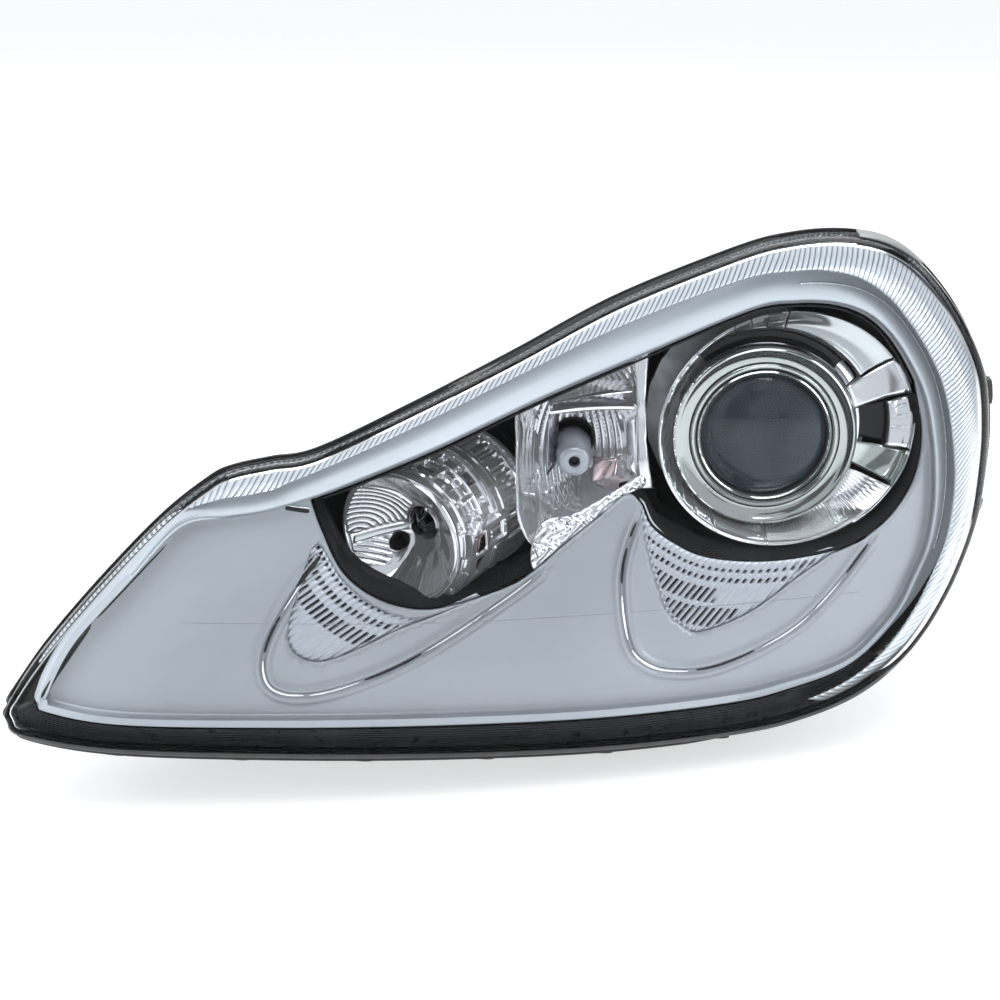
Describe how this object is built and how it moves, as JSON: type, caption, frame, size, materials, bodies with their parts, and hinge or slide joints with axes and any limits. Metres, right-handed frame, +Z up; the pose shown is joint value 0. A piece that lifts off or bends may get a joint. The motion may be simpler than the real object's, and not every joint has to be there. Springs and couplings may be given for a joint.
{
  "type": "car headlight assembly",
  "caption": "Left-hand car headlight: clear fluted-rim lens over a swivelling projector, round high-beam reflector, turn signal and silver bezel, with aiming screws and rear caps.",
  "frame": {"origin": "middle of the mounting shoe's flat underside", "axes": "+X outboard along the lamp's width, -Y forward out of the lens, +Z up; metres"},
  "size_m": [0.6023, 0.3518, 0.3203],
  "materials": {
    "black_plastic": "moulded black polypropylene, satin",
    "clear_lens": "clear hard-coated polycarbonate with a fluted band round the rim",
    "optic_glass": "polished optical glass",
    "chrome": "vacuum-metallised mirror finish",
    "satin_silver": "satin silver-grey coating",
    "cast_aluminium": "die-cast, as cast",
    "steel": "bright zinc-plated steel",
    "zinc": "pressed and plated metal case",
    "rubber": "black moulded rubber",
    "nylon": "natural nylon"
  },
  "bodies": {
    "root": {"housing": "black_plastic", "outer_lens": "clear_lens", "lens_seal": "rubber", "bezel": "satin_silver", "high_beam_surround": "black_plastic", "projector_surround": "black_plastic", "outer_louvre_panel": "satin_silver", "inner_louvre_panel": "satin_silver", "turn_reflector": "chrome", "turn_bulb_shield": "satin_silver", "ball_stud": "steel", "levelling_motor": "black_plastic", "horizontal_aim_bush": "nylon", "ballast": "zinc", "ballast_screw_1": "steel", "ballast_screw_2": "steel", "main_connector": "black_plastic", "mounting_shoe": "black_plastic", "mounting_lug_1": "black_plastic", "mounting_lug_2": "black_plastic", "mounting_bushing_1": "steel", "mounting_bushing_2": "steel", "latch_pin": "steel", "vent_cap_1": "rubber", "vent_cap_2": "rubber", "corner_guide": "satin_silver"},
    "aim_pivot": {"ball_socket": "nylon"},
    "carrier": {"carrier_frame": "black_plastic", "swivel_actuator": "black_plastic", "high_beam_ring": "chrome", "high_beam_reflector": "chrome", "high_beam_drum": "chrome", "high_beam_bulb": "optic_glass", "bulb_spring_clip": "steel"},
    "projector": {"projector_lens": "optic_glass", "lens_retainer": "chrome", "projector_shroud": "chrome", "lens_holder": "cast_aluminium", "projector_reflector": "chrome", "xenon_bulb": "optic_glass", "bulb_lock_ring": "zinc", "igniter": "zinc", "shutter_shaft": "steel", "shutter_solenoid": "zinc", "shutter_return_spring": "steel"},
    "shutter": {"cutoff_shutter": "black_plastic"},
    "plunger": {"solenoid_plunger": "steel"},
    "horizontal_rod": {"horizontal_aim_rod": "steel"},
    "horizontal_knob": {"horizontal_aim_knob": "nylon"},
    "vertical_rod": {"level_rod": "nylon"},
    "vertical_knob": {"vertical_aim_knob": "nylon"},
    "low_cap_seal": {"low_beam_cap_seal": "rubber"},
    "low_cap": {"low_beam_cap": "black_plastic"},
    "high_cap_seal": {"high_beam_cap_seal": "rubber"},
    "high_cap": {"high_beam_cap": "black_plastic"},
    "turn_seal": {"turn_socket_seal": "rubber"},
    "turn_holder": {"turn_socket": "black_plastic", "turn_bulb": "optic_glass"},
    "latch": {"latch_lever": "black_plastic"}
  },
  "joints": [
    {"name": "horizontal_aim", "type": "hinge", "parent": "root", "child": "aim_pivot", "pos_m": [0.004, 0.014, 0.236], "axis": [0, 0, 1], "range_deg": [-1.5, 1.5]},
    {"name": "level", "type": "hinge", "parent": "aim_pivot", "child": "carrier", "pos_m": [0.004, 0.014, 0.236], "axis": [1, 0, 0], "range_deg": [-1.5, 1.5]},
    {"name": "swivel", "type": "hinge", "parent": "carrier", "child": "projector", "pos_m": [0.102, 0.016, 0.199], "axis": [0, 0, 1], "range_deg": [-7, 12]},
    {"name": "shutter_tilt", "type": "hinge", "parent": "projector", "child": "shutter", "pos_m": [0.102, 0, 0.176], "axis": [-1, 0, 0], "range_deg": [0, 24.5], "stiffness_Nm_per_rad": 0.05, "springref_deg": -17.19},
    {"name": "plunger_lift", "type": "slide", "parent": "projector", "child": "plunger", "axis": [0, 0, 1], "range_m": [0, 0.0034], "stiffness_N_per_m": 0.5, "springref_m": 0.0896},
    {"name": "horizontal_rod_travel", "type": "slide", "parent": "root", "child": "horizontal_rod", "axis": [0, 1, 0], "range_m": [-0.0048, 0.0048]},
    {"name": "horizontal_knob_turn", "type": "hinge", "parent": "root", "child": "horizontal_knob", "pos_m": [0.183, 0.146, 0.236], "axis": [0, 1, 0], "range_deg": [-564, 564]},
    {"name": "vertical_rod_travel", "type": "slide", "parent": "root", "child": "vertical_rod", "axis": [0, 1, 0], "range_m": [-0.0033, 0.0033]},
    {"name": "vertical_knob_turn", "type": "hinge", "parent": "root", "child": "vertical_knob", "pos_m": [-0.018, 0.042, 0.114], "axis": [0, 1, 0], "range_deg": [-385, 385]},
    {"name": "low_cap_pull", "type": "slide", "parent": "root", "child": "low_cap_seal", "axis": [0, 1, 0], "range_m": [0, 0.04]},
    {"name": "low_cap_turn", "type": "hinge", "parent": "low_cap_seal", "child": "low_cap", "pos_m": [0.102, 0.16, 0.199], "axis": [0, 1, 0], "range_deg": [0, 40]},
    {"name": "high_cap_pull", "type": "slide", "parent": "root", "child": "high_cap_seal", "axis": [0, 1, 0], "range_m": [0, 0.04]},
    {"name": "high_cap_turn", "type": "hinge", "parent": "high_cap_seal", "child": "high_cap", "pos_m": [-0.092, 0.055, 0.154], "axis": [0, 1, 0], "range_deg": [0, 40]},
    {"name": "turn_holder_pull", "type": "slide", "parent": "root", "child": "turn_seal", "axis": [0, 1, 0], "range_m": [0, 0.06]},
    {"name": "turn_holder_turn", "type": "hinge", "parent": "turn_seal", "child": "turn_holder", "pos_m": [-0.0155, 0.048, 0.193], "axis": [0, 1, 0], "range_deg": [0, 45]},
    {"name": "latch_turn", "type": "hinge", "parent": "root", "child": "latch", "pos_m": [-0.252, 0.055, 0.112], "axis": [0, 1, 0], "range_deg": [0, 90]}
  ],
  "couplings": [
    {"joint": "plunger_lift", "follows": "shutter_tilt", "m_per_rad": 0.0078},
    {"joint": "horizontal_rod_travel", "follows": "horizontal_aim", "m_per_rad": 0.179},
    {"joint": "horizontal_knob_turn", "follows": "horizontal_aim", "ratio": 374.9},
    {"joint": "vertical_rod_travel", "follows": "level", "m_per_rad": 0.122},
    {"joint": "vertical_knob_turn", "follows": "level", "ratio": 255.52}
  ]
}
